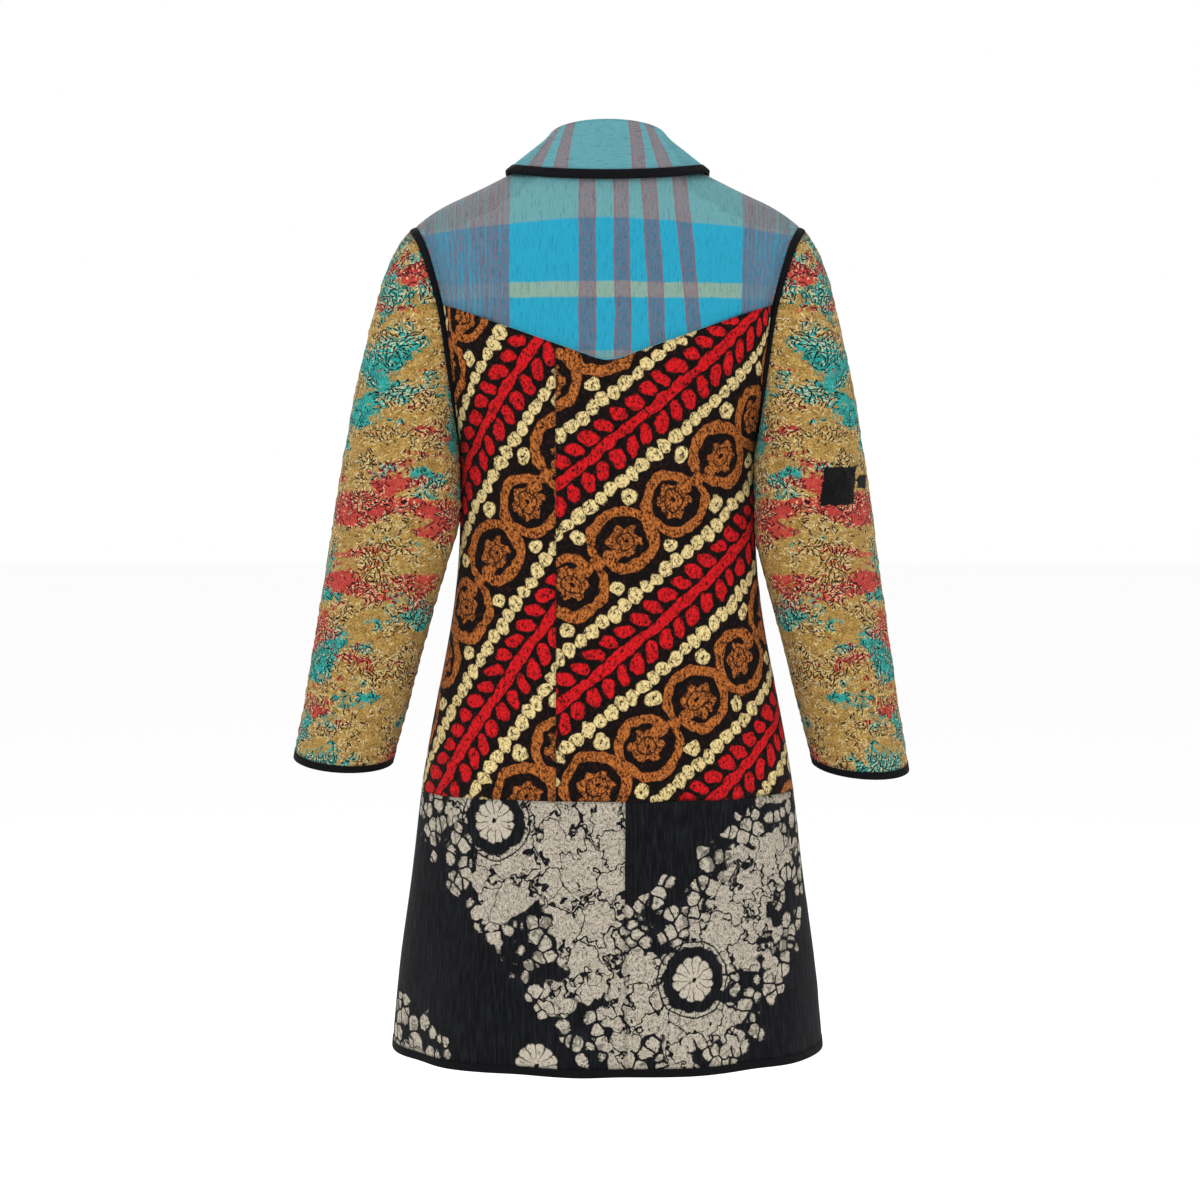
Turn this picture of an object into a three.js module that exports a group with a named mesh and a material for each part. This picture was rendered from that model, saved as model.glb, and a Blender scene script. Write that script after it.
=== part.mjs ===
// A woman's reversible coat, worn on an invisible figure: yoke, pieced body and skirt, sleeves, collar and tape.
// Millimetres, +Z up, the wearer faces -Y and the wearer's left is +X. Heights are measured from the hem, and
// the group is lowered at the end, so that the origin lies midway between the shoulders that hold the coat up.
import * as THREE from "three";

const HOLD_HEIGHT = 905; // where the wearer's shoulders carry the coat, above the hem
const CLOTH = 2.4; // quilted wall: two cloths stitched through
const GAP = 0.3; // between neighbouring pieces
const TAPE = 7.5; // width of the binding on every edge
const TAPE_RAISE = 0.7; // how far the folded tape stands over the cloth, each side
const TAPE_CROWN = 0.6; // extra height along the middle of the tape

const HIP_SEAM = 275;
const ARM_BOTTOM = 645;
const ARM_TOP = 872;
const ARM_DEPTH = 62; // half the armhole's depth, front to back
const SEAM_TURN = 75; // degrees down the armhole from the shoulder point to the yoke seam
const NECK_HALF = 77; // half the neckline's width at the shoulder seams
const NECK_HEIGHT = 938;
const NECK_Y = 9;
const SHOULDER_HALF = 202;
const BODY_SEAM_X = 54; // the upright seam that parts the two back body panels
const SKIRT_SEAM_X = -18;
const BOXINESS = 0.86; // below 1 the body's sections are squarer than ellipses
const SIDE_HOLD = 6; // how closely the armhole's depth keeps to the side seam below it
const YOKE_LEAN = 1.2; // how late the yoke's columns lean over to the shoulder's spacing

const NECK_COLUMNS = 6;
const COLUMNS = 14; // from the centre to the side
const NECK_SHARE = NECK_COLUMNS / COLUMNS;

// Half width, back depth and front depth of the body at heights above the hem
const BODY = [
  { z: 0, half: 231.5, back: 168, front: 158 },
  { z: 90, half: 223, back: 148, front: 144 },
  { z: 180, half: 210, back: 128, front: 130 },
  { z: 275, half: 199, back: 112, front: 119 },
  { z: 340, half: 188.5, back: 106, front: 112 },
  { z: 425, half: 171, back: 96, front: 104 },
  { z: 500, half: 159.5, back: 89, front: 99 },
  { z: 570, half: 156.5, back: 90, front: 107 },
  { z: 645, half: 157, back: 96, front: 119 },
  { z: 728, half: 163, back: 102, front: 113 },
  { z: 800, half: 170, back: 101, front: 99 },
  { z: 870, half: 190, back: 89, front: 80 },
  { z: 935, half: 200, back: 67, front: 60 },
];

// How far the armhole's edge lies from the centre
const ARMHOLE = [
  { z: 645, x: 157 },
  { z: 690, x: 159.5 },
  { z: 728, x: 163 },
  { z: 782, x: 169.5 },
  { z: 802, x: 174 },
  { z: 825, x: 180.5 },
  { z: 855, x: 191 },
  { z: 872, x: 202 },
];

// Top edge of the shoulder, outwards from the neck
const SHOULDER = [
  { x: 77, z: 938 },
  { x: 104, z: 925 },
  { x: 132, z: 911 },
  { x: 158, z: 899 },
  { x: 180, z: 888.5 },
  { x: 202, z: 872 },
];

// Each face of the body: the yoke seam's height at the centre, the neckline's drop and roundness, how far above
// it the body would close, and how far the armhole is cut in
const BACK = { sign: 1, depth: "back", seamTip: 728, neckDrop: 3, neckRound: 1, neckRise: 58, scoop: 0 };
const FRONT = { sign: -1, depth: "front", seamTip: 772, neckDrop: 76, neckRound: 1.3, neckRise: 62, scoop: 6 };

// The sleeve's rings from armhole to cuff: outer and inner ends, half depth, middle and back edge's drop
const SLEEVE = [
  { outX: 209, outZ: 867, inX: 161.5, inZ: 640, deep: 62, midY: 0, drop: 0 },
  { outX: 223, outZ: 850, inX: 159.5, inZ: 629, deep: 64, midY: 5, drop: 0 },
  { outX: 237, outZ: 817, inX: 158, inZ: 616, deep: 65, midY: 10, drop: 0 },
  { outX: 248, outZ: 781, inX: 157, inZ: 602, deep: 65, midY: 14, drop: 1 },
  { outX: 258.5, outZ: 736, inX: 156.5, inZ: 585, deep: 64, midY: 17, drop: 2 },
  { outX: 270, outZ: 682, inX: 156.5, inZ: 567, deep: 63, midY: 18, drop: 3 },
  { outX: 281, outZ: 627, inX: 160, inZ: 547, deep: 62, midY: 16, drop: 4 },
  { outX: 290, outZ: 570, inX: 167.5, inZ: 525, deep: 60, midY: 12, drop: 5 },
  { outX: 299, outZ: 516, inX: 179, inZ: 486, deep: 58, midY: 7, drop: 6 },
  { outX: 309, outZ: 461, inX: 193, inZ: 436, deep: 56, midY: 1, drop: 7 },
  { outX: 319, outZ: 404, inX: 207, inZ: 384, deep: 54, midY: -5, drop: 8 },
  { outX: 329, outZ: 352, inX: 219, inZ: 340, deep: 52, midY: -10, drop: 9 },
  { outX: 337.5, outZ: 308, inX: 230, inZ: 302, deep: 51, midY: -14, drop: 9 },
];
const SLEEVE_AGAINST_BODY = 156.5; // the sleeve's inner edge where it lies along the body
const SLEEVE_TABLE_STEP = 44; // millimetres of cuff between the table's last two rings
const SLEEVE_ROWS = 17;
const CAP_ROWS = 4; // rows of the table over which the sleeve takes the armhole's shape
// The right arm hangs a little closer and longer than the left
const ARMS = [
  { name: "left", side: 1, closer: 0, lower: 0 },
  { name: "right", side: -1, closer: 13, lower: 14 },
];

// The armhole's binding: where it runs from the body's edge, its mean width and how much it varies round the loop
const ARM_TAPE = { out: 0.85, back: 0.2, down: 0.45, width: 6.5, varies: 2.5 };

// The collar's roll line: half width, reach behind and in front, height, its rise behind and fall in front
const ROLL = { half: 59, middle: 8, back: 58, front: 84, z: 968, rise: 9, fall: 74, round: 1.2 };
const COLLAR = {
  cloth: 2.2,
  half: 105, // half the width of the edge that lies on the yoke
  edgeZ: 923.5,
  backFall: 8, // how far that edge dips behind
  frontFall: 87, // and in front
  clear: 1.9, // air between the yoke and the tape on the edge
  overShoulder: 2.4, // more air over the shoulder seam
  corner: 3.6, // how far the foot is lifted at the shoulder seam
  roll: 3.8, // half the width of the roll
  shoulderOfRoll: 6, // how far below the roll line its two sides are
  tape: 8.5,
};
const COLLAR_STATIONS = 9; // on each quarter of the neck
const COLLAR_ROWS = 11; // from the foot to the tape

const COLOURS = {
  yoke: "#2f9fbe",
  body: "#a3382c",
  skirt: "#4a463f",
  sleeve: "#b79a5c",
  tape: "#17171a",
};

const degrees = (angle) => (angle * Math.PI) / 180;
const sinOf = (angle) => Math.sin(degrees(angle));
const cosOf = (angle) => Math.cos(degrees(angle));
const mix = (a, b, t) => a + (b - a) * t;
const steps = (count, from = 0, to = 1) => Array.from({ length: count + 1 }, (_, i) => mix(from, to, i / count));

// A smooth curve through one column of a table, read at a value of its axis
function along(table, column, at, axis = "z") {
  const last = table.length - 1;
  let i = 0;
  while (i < last - 1 && at > table[i + 1][axis]) i++;
  const slope = (k) => {
    const before = table[Math.max(k - 1, 0)];
    const after = table[Math.min(k + 1, last)];
    return (after[column] - before[column]) / (after[axis] - before[axis]);
  };
  const span = table[i + 1][axis] - table[i][axis];
  const t = (at - table[i][axis]) / span;
  const ease = t * t * (3 - 2 * t);
  const bend = slope(i) * t * (1 - t) ** 2 - slope(i + 1) * t * t * (1 - t);
  return mix(table[i][column], table[i + 1][column], ease) + span * bend;
}

// The side edge of the body at a level. Levels 0 to 1 are the side seam, 1 to 2 run up the armhole to the yoke
// seam and 2 to 3 on to the shoulder point.
function edgeAt(face, level) {
  if (level <= 1) {
    const z = ARM_BOTTOM * level;
    return { x: along(BODY, "half", z), y: 0, z };
  }
  const turn = level <= 2 ? mix(180, SEAM_TURN, level - 1) : SEAM_TURN * (3 - level);
  const z = mix(ARM_BOTTOM, ARM_TOP, (1 + cosOf(turn)) / 2);
  const x = along(ARMHOLE, "x", z) - face.scoop * sinOf(turn);
  const over = Math.max(0, (cosOf(turn) - cosOf(SEAM_TURN)) / (1 - cosOf(SEAM_TURN)));
  const depth = level <= 2 ? sinOf(turn) : sinOf(SEAM_TURN) * Math.sqrt(1 - over ** 2);
  return { x, y: face.sign * ARM_DEPTH * depth, z };
}

// The neckline and shoulder edge, at a share of the way from the centre to the side. The ridge is where the
// body would close over the top: the shoulder itself, or above the neckline's opening.
function topAt(face, share) {
  if (share < NECK_SHARE) {
    const angle = (90 * share) / NECK_SHARE;
    const z = NECK_HEIGHT - face.neckDrop * cosOf(angle) ** face.neckRound;
    return { x: NECK_HALF * sinOf(angle), z, ridge: z + face.neckRise * cosOf(angle) ** 2, ridgeY: NECK_Y };
  }
  const out = (share - NECK_SHARE) / (1 - NECK_SHARE);
  const x = mix(NECK_HALF, SHOULDER_HALF, out);
  const z = along(SHOULDER, "z", x, "x");
  return { x, z, ridge: z, ridgeY: NECK_Y * (1 - out) };
}

// A point of the body's outer face: share runs from the centre (0) to the side (1)
function bodyAt(face, share, level) {
  const edge = edgeAt(face, level);
  const across = sinOf(90 * share);
  const round = cosOf(90 * share) ** BOXINESS;
  const centreY = (z) => face.sign * along(BODY, face.depth, z);
  if (level <= 1) return new THREE.Vector3(edge.x * across, centreY(edge.z) * round, edge.z);
  const seamEdge = edgeAt(face, 2);
  const seamZ = mix(face.seamTip, seamEdge.z, across);
  if (level <= 2) {
    const rise = (edge.z - ARM_BOTTOM) / (seamEdge.z - ARM_BOTTOM);
    const z = mix(ARM_BOTTOM, seamZ, rise);
    const hold = mix(share ** SIDE_HOLD, 1 - round, rise * rise * (3 - 2 * rise));
    return new THREE.Vector3(edge.x * across, centreY(z) * round + edge.y * hold, z);
  }
  const rise = (edge.z - seamEdge.z) / (ARM_TOP - seamEdge.z);
  const top = topAt(face, share);
  const lean = rise ** YOKE_LEAN;
  const x = mix(edge.x * across, (top.x * edge.x) / SHOULDER_HALF, lean);
  const z = mix(seamZ, top.z, rise);
  const seamY = mix(seamEdge.y, centreY(seamZ), round);
  const over = Math.min(1, (z - seamZ) / (top.ridge - seamZ));
  return new THREE.Vector3(x, mix(top.ridgeY, seamY, Math.sqrt(1 - over ** 2)), z);
}

// Grids of the body's outer face. Signed shares run from one side seam, across the centre, to the other, and a
// seam's column is drawn over to its upright place by pull.
function bodyGrid(face, shares, levels, pull = null) {
  return levels.map((level) => {
    const fade = Math.min(1, 3 - level);
    const upright = pull ? fade * (Math.asin(pull.x / edgeAt(face, level).x) / degrees(90) - pull.share) : 0;
    return shares.map((share) => {
      const near = pull ? Math.max(0, 1 - Math.abs(share - pull.share) / (1 - Math.abs(pull.share))) : 0;
      const drawn = share + upright * near ** 2;
      const point = bodyAt(face, Math.abs(drawn), level);
      return point.setX(point.x * (Math.sign(drawn) || 1));
    });
  });
}

const TAPE_SEAM = 0.8; // between the armhole tape and the edges it joins, which curve between their corners
const PLACES = 83.7; // steps to a millimetre when points are matched, an odd count so that no size falls on a tie
const keyOf = (p) => p.toArray().map((v) => Math.round(v * PLACES)).join(" ");

// Smooth outward normals of neighbouring grids together, so that they agree along shared edges
function normalsOf(grids, closed = false) {
  const sums = new Map();
  const addTo = (point, vector) => {
    const key = keyOf(point);
    if (!sums.has(key)) sums.set(key, new THREE.Vector3());
    sums.get(key).add(vector);
  };
  for (const grid of grids) {
    const width = grid[0].length;
    for (let r = 0; r + 1 < grid.length; r++)
      for (let c = 0; c < width - (closed ? 0 : 1); c++) {
        const d = (c + 1) % width;
        const across = grid[r + 1][d].clone().sub(grid[r][c]);
        const other = grid[r + 1][c].clone().sub(grid[r][d]);
        const normal = across.cross(other);
        for (const p of [grid[r][c], grid[r][d], grid[r + 1][c], grid[r + 1][d]]) addTo(p, normal);
      }
  }
  return (point) => sums.get(keyOf(point)).clone().normalize();
}

const DIAGONAL_TILT = 0.37; // decides which way a rim's quads are split, alike on both sides of a seam

// A closed mesh between two grids of the same size
function between(outer, inner, closed = false) {
  const rows = outer.length;
  const width = outer[0].length;
  const positions = [...outer.flat(), ...inner.flat()].flatMap((p) => p.toArray());
  const at = (layer, r, c) => layer * rows * width + r * width + (c % width);
  const faces = [];
  const quad = (a, b, c, d) => faces.push(a, b, c, a, c, d);
  const span = closed ? width : width - 1;
  const order = (i) => Math.abs(positions[i * 3]) + DIAGONAL_TILT * positions[i * 3 + 2];
  const rim = (a, b, c, d) => (order(a) > order(d) ? quad(a, b, c, d) : quad(b, c, d, a));
  for (let r = 0; r + 1 < rows; r++)
    for (let c = 0; c < span; c++) {
      quad(at(0, r, c), at(0, r, c + 1), at(0, r + 1, c + 1), at(0, r + 1, c));
      quad(at(1, r, c), at(1, r + 1, c), at(1, r + 1, c + 1), at(1, r, c + 1));
    }
  for (let c = 0; c < span; c++) {
    rim(at(0, 0, c), at(1, 0, c), at(1, 0, c + 1), at(0, 0, c + 1));
    rim(at(0, rows - 1, c + 1), at(1, rows - 1, c + 1), at(1, rows - 1, c), at(0, rows - 1, c));
  }
  for (let r = 0; !closed && r + 1 < rows; r++) {
    rim(at(0, r + 1, 0), at(1, r + 1, 0), at(1, r, 0), at(0, r, 0));
    rim(at(0, r, width - 1), at(1, r, width - 1), at(1, r + 1, width - 1), at(0, r + 1, width - 1));
  }
  const volume = faces.reduce((sum, _, i) => {
    if (i % 3) return sum;
    const [a, b, c] = [0, 1, 2].map((k) => new THREE.Vector3().fromArray(positions, faces[i + k] * 3));
    return sum + a.dot(b.cross(c));
  }, 0);
  if (volume < 0) faces.reverse();
  const geometry = new THREE.BufferGeometry();
  geometry.setAttribute("position", new THREE.Float32BufferAttribute(positions, 3));
  return geometry.setIndex(faces);
}

// Draws a grid's border in by half a gap, so that neighbours stay apart
function trimmed(grid, closed = false) {
  const rows = grid.length;
  const width = grid[0].length;
  const toward = (p, q) => q.clone().sub(p).setLength(GAP / 2);
  return grid.map((row, r) =>
    row.map((p, c) => {
      const moved = p.clone();
      if (r === 0) moved.add(toward(p, grid[1][c]));
      if (r === rows - 1) moved.add(toward(p, grid[r - 1][c]));
      if (!closed && c === 0) moved.add(toward(p, row[1]));
      if (!closed && c === width - 1) moved.add(toward(p, row[c - 1]));
      return moved;
    }),
  );
}

// A cloth wall from its outer face inwards
function wall(grid, normal, closed = false, raise = 0, thick = CLOTH) {
  const shift = (row, r, by) => row.map((p, c) => p.clone().addScaledVector(normal(grid[r][c]), by));
  const outer = trimmed(grid, closed);
  return between(
    outer.map((row, r) => shift(row, r, raise)),
    outer.map((row, r) => shift(row, r, -thick - raise)),
    closed,
  );
}

const coat = new THREE.Group();
const materials = Object.fromEntries(
  Object.entries(COLOURS).map(([name, color]) => [
    name,
    new THREE.MeshStandardMaterial({ color, roughness: 0.9, metalness: 0 }),
  ]),
);
function sew(name, geometry, material) {
  const mesh = new THREE.Mesh(geometry, materials[material]);
  mesh.name = name;
  coat.add(mesh);
}

// Levels of the body's rows, and shares of its columns
const levelOf = (height) => height / ARM_BOTTOM;
const HEM_LEVELS = [0, levelOf(TAPE)];
const SKIRT_LEVELS = steps(7, levelOf(TAPE), levelOf(HIP_SEAM));
const BODY_LEVELS = [...steps(7, levelOf(HIP_SEAM), 1), ...steps(7, 1, 2).slice(1)];
const YOKE_LEVELS = steps(5, 2, 3);
const ALL_LEVELS = [...HEM_LEVELS, ...SKIRT_LEVELS.slice(1), ...BODY_LEVELS.slice(1), ...YOKE_LEVELS.slice(1)];
const BACK_SHARES = steps(2 * COLUMNS, 1, -1);
const BODY_SEAM = 3 / COLUMNS;
const SKIRT_SEAM = -1 / COLUMNS;
const bodyPull = { share: BODY_SEAM, x: BODY_SEAM_X };
const skirtPull = { share: SKIRT_SEAM, x: SKIRT_SEAM_X };
const upTo = (shares, limit) => shares.filter((s) => s >= limit - 1e-6);
const from = (shares, limit) => shares.filter((s) => s <= limit + 1e-6);

// A front's columns start at the centre edge and leave the tape's width before the cloth begins. The column
// between tape and cloth lies on the straight line to the next one.
const TAPE_SHARE = 0.02;
const FIRST_SHARE = 1 / COLUMNS;
const FRONT_SHARES = steps(COLUMNS).slice(1);
function frontGrid(side, levels, columns) {
  return levels.map((level) =>
    columns.map((share) => {
      const point = bodyAt(FRONT, share, level);
      point.x = Math.max(point.x, GAP);
      if (share === TAPE_SHARE) {
        point.lerp(bodyAt(FRONT, FIRST_SHARE, level), TAPE_SHARE / FIRST_SHARE);
        point.x = TAPE + GAP;
      }
      point.x *= side;
      return point;
    }),
  );
}
const grids = {
  back_yoke: bodyGrid(BACK, BACK_SHARES, YOKE_LEVELS, bodyPull),
  back_left: bodyGrid(BACK, upTo(BACK_SHARES, BODY_SEAM), BODY_LEVELS, bodyPull),
  back_right: bodyGrid(BACK, from(BACK_SHARES, BODY_SEAM), BODY_LEVELS, bodyPull),
  back_skirt_left: bodyGrid(BACK, upTo(BACK_SHARES, SKIRT_SEAM), SKIRT_LEVELS, skirtPull),
  back_skirt_right: bodyGrid(BACK, from(BACK_SHARES, SKIRT_SEAM), SKIRT_LEVELS, skirtPull),
};
for (const { name, side } of ARMS) {
  const columns = side > 0 ? [TAPE_SHARE, ...FRONT_SHARES] : [...FRONT_SHARES].reverse().concat(TAPE_SHARE);
  const tapeColumns = side > 0 ? [0, TAPE_SHARE] : [TAPE_SHARE, 0];
  const upper = [...BODY_LEVELS, ...YOKE_LEVELS.slice(1)];
  grids["front_" + name] = frontGrid(side, upper, columns);
  grids["front_skirt_" + name] = frontGrid(side, SKIRT_LEVELS, columns);
  grids["tape_front_" + name] = frontGrid(side, ALL_LEVELS.slice(1), tapeColumns);
}
const hemShares = {
  right: frontGrid(-1, HEM_LEVELS, [...FRONT_SHARES].reverse().concat(TAPE_SHARE, 0)),
  left: frontGrid(1, HEM_LEVELS, [0, TAPE_SHARE, ...FRONT_SHARES]),
  back: bodyGrid(BACK, BACK_SHARES, HEM_LEVELS, skirtPull),
};
grids.tape_hem = HEM_LEVELS.map((_, r) => [
  ...hemShares.left[r],
  ...hemShares.back[r].slice(1, -1),
  ...hemShares.right[r],
]);
const bodyNormal = normalsOf(Object.values(grids));
const MATERIAL_OF = { yoke: /yoke/, skirt: /skirt/, tape: /tape/ };
const clothOf = (name) => Object.keys(MATERIAL_OF).find((key) => MATERIAL_OF[key].test(name)) ?? "body";
for (const [name, grid] of Object.entries(grids)) {
  const raise = name.startsWith("tape") ? TAPE_RAISE : 0;
  sew(name, wall(grid, bodyNormal, false, raise), clothOf(name));
}

// The armhole's loop as the body has it: up the back from the underarm, over the shoulder and down the front
function armholeLoop(side) {
  const levels = [...steps(7, 1, 2), ...YOKE_LEVELS.slice(1)];
  const back = levels.map((level) => bodyAt(BACK, 1, level));
  const front = levels.map((level) => bodyAt(FRONT, 1, level));
  return [...back, ...front.reverse().slice(1, -1)].map((p) => p.setX(p.x * side));
}

// The sleeve's ring at a row of its table, before it is drawn to the armhole
function sleeveRing(arm, row, turns) {
  const share = row / (SLEEVE.length - 1);
  const table = SLEEVE.map((ring, index) => ({ ...ring, row: index }));
  const read = (column) => along(table, column, row, "row");
  const closer = arm.closer * share ** 0.8;
  const outX = read("outX") - closer;
  const inX = Math.max(read("inX") - 0.8 * closer, Math.min(read("inX"), SLEEVE_AGAINST_BODY));
  const outZ = read("outZ") - arm.lower * share ** 2;
  return turns.map((turn) => {
    const lean = (1 + cosOf(turn)) / 2;
    const y = read("midY") + read("deep") * sinOf(turn);
    const z = mix(read("inZ"), outZ, lean) - read("drop") * sinOf(turn);
    return new THREE.Vector3(arm.side * mix(inX, outX, lean), y, z);
  });
}

const TURN_STEPS = [...steps(7, 180, SEAM_TURN), ...steps(5, SEAM_TURN, 0).slice(1)];
const RING_TURNS = [...TURN_STEPS, ...TURN_STEPS.slice(1, -1).reverse().map((turn) => -turn)];
for (const arm of ARMS) {
  const loop = armholeLoop(arm.side);
  const last = SLEEVE.length - 1;
  const start = loop.map((p, k) => {
    const turn = RING_TURNS[k];
    const away = new THREE.Vector3(ARM_TAPE.out * arm.side, ARM_TAPE.back * sinOf(turn), -ARM_TAPE.down);
    return p.clone().addScaledVector(away.normalize(), ARM_TAPE.width + ARM_TAPE.varies * cosOf(turn));
  });
  const first = sleeveRing(arm, 0, RING_TURNS);
  const ringAt = (row) => {
    const fade = Math.max(0, 1 - row / CAP_ROWS) ** 2;
    return sleeveRing(arm, row, RING_TURNS).map((p, k) =>
      p.addScaledVector(start[k].clone().sub(first[k]), fade),
    );
  };
  const tapeRow = last - TAPE / SLEEVE_TABLE_STEP;
  const rows = steps(SLEEVE_ROWS, 0, tapeRow).map(ringAt);
  const cuff = [ringAt(tapeRow), ringAt((tapeRow + last) / 2), ringAt(last)];
  if (arm.side < 0) [rows, cuff].forEach((set) => set.forEach((ring) => ring.reverse()));
  const normal = normalsOf([rows, cuff], true);
  sew("sleeve_" + arm.name, wall(rows, normal, true), "sleeve");
  sew("tape_cuff_" + arm.name, wall(cuff, normal, true, TAPE_RAISE), "tape");

  // The tape round the armhole fills the seam between the body's edge and the sleeve's
  const ends = rows[0].map((p) => p.clone());
  const nexts = rows[1].map((p) => p.clone());
  if (arm.side < 0) [ends, nexts].forEach((set) => set.reverse());
  const sections = loop.map((p, k) => {
    const before = loop[(k + loop.length - 1) % loop.length];
    const after = loop[(k + 1) % loop.length];
    const run = after.clone().sub(before).normalize();
    const bodyOut = bodyNormal(p);
    const sleeveOut = normal(ends[k]);
    const across = ends[k].clone().sub(p);
    const facing = run.clone().cross(across).multiplyScalar(arm.side).normalize();
    const bodyAway = bodyOut.clone().cross(run).multiplyScalar(arm.side).normalize();
    const sleeveAway = ends[k].clone().sub(nexts[k]).normalize();
    const rimOf = (base, out, away) => {
      const edge = base.clone().addScaledVector(away, TAPE_SEAM);
      const clear = (by) => {
        const move = facing.clone().multiplyScalar(by);
        return move.addScaledVector(away, -Math.min(0, move.dot(away)));
      };
      const deep = CLOTH * (1 - out.dot(facing));
      const inner = edge.clone().addScaledVector(out, -CLOTH).add(clear(-deep - TAPE_RAISE));
      return { outer: edge.add(clear(TAPE_RAISE)), inner };
    };
    const a = rimOf(p, bodyOut, bodyAway);
    const b = rimOf(ends[k], sleeveOut, sleeveAway);
    const crown = a.outer.clone().lerp(b.outer, 0.5).addScaledVector(facing, TAPE_CROWN);
    return { outer: [a.outer, crown, b.outer], inner: [a.inner, a.inner.clone().lerp(b.inner, 0.5), b.inner] };
  });
  const layer = (key) => [0, 1, 2].map((i) => sections.map((section) => section[key][i]));
  sew("tape_armhole_" + arm.name, between(layer("outer"), layer("inner"), true), "tape");
}

// The share and level of the body's point at a given place in the front view, or null above its top
function placeOn(face, x, z) {
  const shareAt = (level) => {
    let [low, high] = [0, 1];
    for (let i = 0; i < 24; i++) {
      const middle = (low + high) / 2;
      if (bodyAt(face, middle, level).x < x) low = middle;
      else high = middle;
    }
    return low;
  };
  if (bodyAt(face, shareAt(3), 3).z < z) return null;
  let [low, high] = [1, 3];
  for (let i = 0; i < 24; i++) {
    const middle = (low + high) / 2;
    if (bodyAt(face, shareAt(middle), middle).z < z) low = middle;
    else high = middle;
  }
  return { share: shareAt(low), level: low };
}

// The neckline's cut edge as the body panels have it, straight between their columns
function neckRim(face, point) {
  const names = face === BACK ? ["back_yoke"] : ["tape_front_left", "front_left"];
  const row = names
    .flatMap((name) => grids[name].at(-1))
    .filter((p) => p.x >= 0)
    .sort((p, q) => p.x - q.x);
  const i = Math.max(0, Math.min(row.findIndex((p) => p.x > point.x), NECK_COLUMNS + 4) - 1);
  const t = (point.x - row[i].x) / Math.max(row[i + 1].x - row[i].x, GAP);
  return row[i].clone().lerp(row[i + 1], Math.min(Math.max(t, 0), 1));
}

// The collar: stations from the left front edge round the neck to the right, each a path that stands up from
// the neckline, rolls over and falls to the edge lying on the yoke.
function collarPath(face, share, side) {
  const angle = (90 * share) / NECK_SHARE;
  const body = neckRim(face, bodyAt(face, share, 3));
  const up = bodyAt(face, share, 3).sub(bodyAt(face, share, 2.9)).normalize();
  const next = bodyAt(face, Math.min(share + 0.01, NECK_SHARE), 3);
  const rim = next.sub(bodyAt(face, Math.max(share - 0.01, 0), 3));
  const out = up.clone().cross(rim).normalize().multiplyScalar(face.sign);
  const foot = body.clone().addScaledVector(out, -CLOTH / 2).addScaledVector(up, GAP * 3);
  foot.z += COLLAR.corner * sinOf(angle) ** 2;
  const lift = COLLAR.clear + COLLAR.cloth / 2 + TAPE_RAISE + COLLAR.overShoulder * sinOf(angle) ** 4;
  const drop = face === BACK ? COLLAR.backFall * cosOf(angle) ** 2 : COLLAR.frontFall * cosOf(angle);
  const place = placeOn(face, COLLAR.half * sinOf(angle), COLLAR.edgeZ - drop - 0.01);
  const edge = bodyAt(face, place.share, place.level);
  const down = bodyAt(face, place.share, place.level - 0.05).sub(edge);
  const across = bodyAt(face, place.share + 0.01, place.level).sub(edge);
  edge.addScaledVector(down.cross(across).normalize(), -face.sign * lift);
  const roll = new THREE.Vector3(
    ROLL.half * sinOf(angle),
    ROLL.middle + (face === BACK ? ROLL.back : -ROLL.front) * cosOf(angle),
    ROLL.z + (face === BACK ? ROLL.rise : -ROLL.fall) * cosOf(angle) ** ROLL.round,
  );
  const outward = edge.clone().sub(foot).setZ(0).normalize();
  const shifted = (p, sideways, rise) => p.clone().addScaledVector(outward, sideways).setZ(p.z + rise);
  const over = shifted(roll, COLLAR.roll, -COLLAR.shoulderOfRoll);
  // A point of the fall, held clear of the body under it
  const resting = (t) => {
    const point = over.clone().lerp(edge, t);
    const under = placeOn(face, point.x, point.z);
    if (!under) return point;
    const least = face.sign * bodyAt(face, under.share, under.level).y + lift;
    return point.setY(face.sign * Math.max(face.sign * point.y, least));
  };
  const points = [
    foot,
    foot.clone().lerp(roll, 0.5),
    shifted(roll, -COLLAR.roll, -COLLAR.shoulderOfRoll),
    roll,
    over,
    resting(0.45),
    resting(0.75),
    edge,
  ];
  for (const p of points) p.x = side * Math.max(p.x, GAP);
  return new THREE.CatmullRomCurve3(points, false, "centripetal");
}
const neckShares = steps(COLLAR_STATIONS, 0, NECK_SHARE);
const half = (side) => [
  collarPath(FRONT, 0, side),
  collarPath(FRONT, TAPE_SHARE * 2, side),
  ...neckShares.slice(1).map((share) => collarPath(FRONT, share, side)),
  ...[...neckShares].reverse().slice(1).map((share) => collarPath(BACK, share, side)),
];
const stations = [...half(1), ...half(-1).reverse().slice(1)];
const tapeStart = (path) => 1 - COLLAR.tape / path.getLength();
const collarGrid = (from, to, count) =>
  steps(count).map((t) => stations.map((path) => path.getPointAt(mix(from(path), to(path), t))));
const collarCloth = collarGrid(() => 0, tapeStart, COLLAR_ROWS);
const collarTape = collarGrid(tapeStart, () => 1, 1);
const collarNormal = normalsOf([collarCloth, collarTape]);
const fold = (grid, raise) => {
  const outer = trimmed(grid);
  const moved = (by) =>
    outer.map((row, r) => row.map((p, c) => p.clone().addScaledVector(collarNormal(grid[r][c]), by)));
  return between(moved(COLLAR.cloth / 2 + raise), moved(-COLLAR.cloth / 2 - raise));
};
const columnsOf = (grid, a, b) => grid.map((row) => row.slice(a, b));
sew("collar", fold(columnsOf(collarCloth, 1, -1), 0), "yoke");
sew("tape_collar_edge", fold(collarTape, TAPE_RAISE), "tape");
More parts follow.
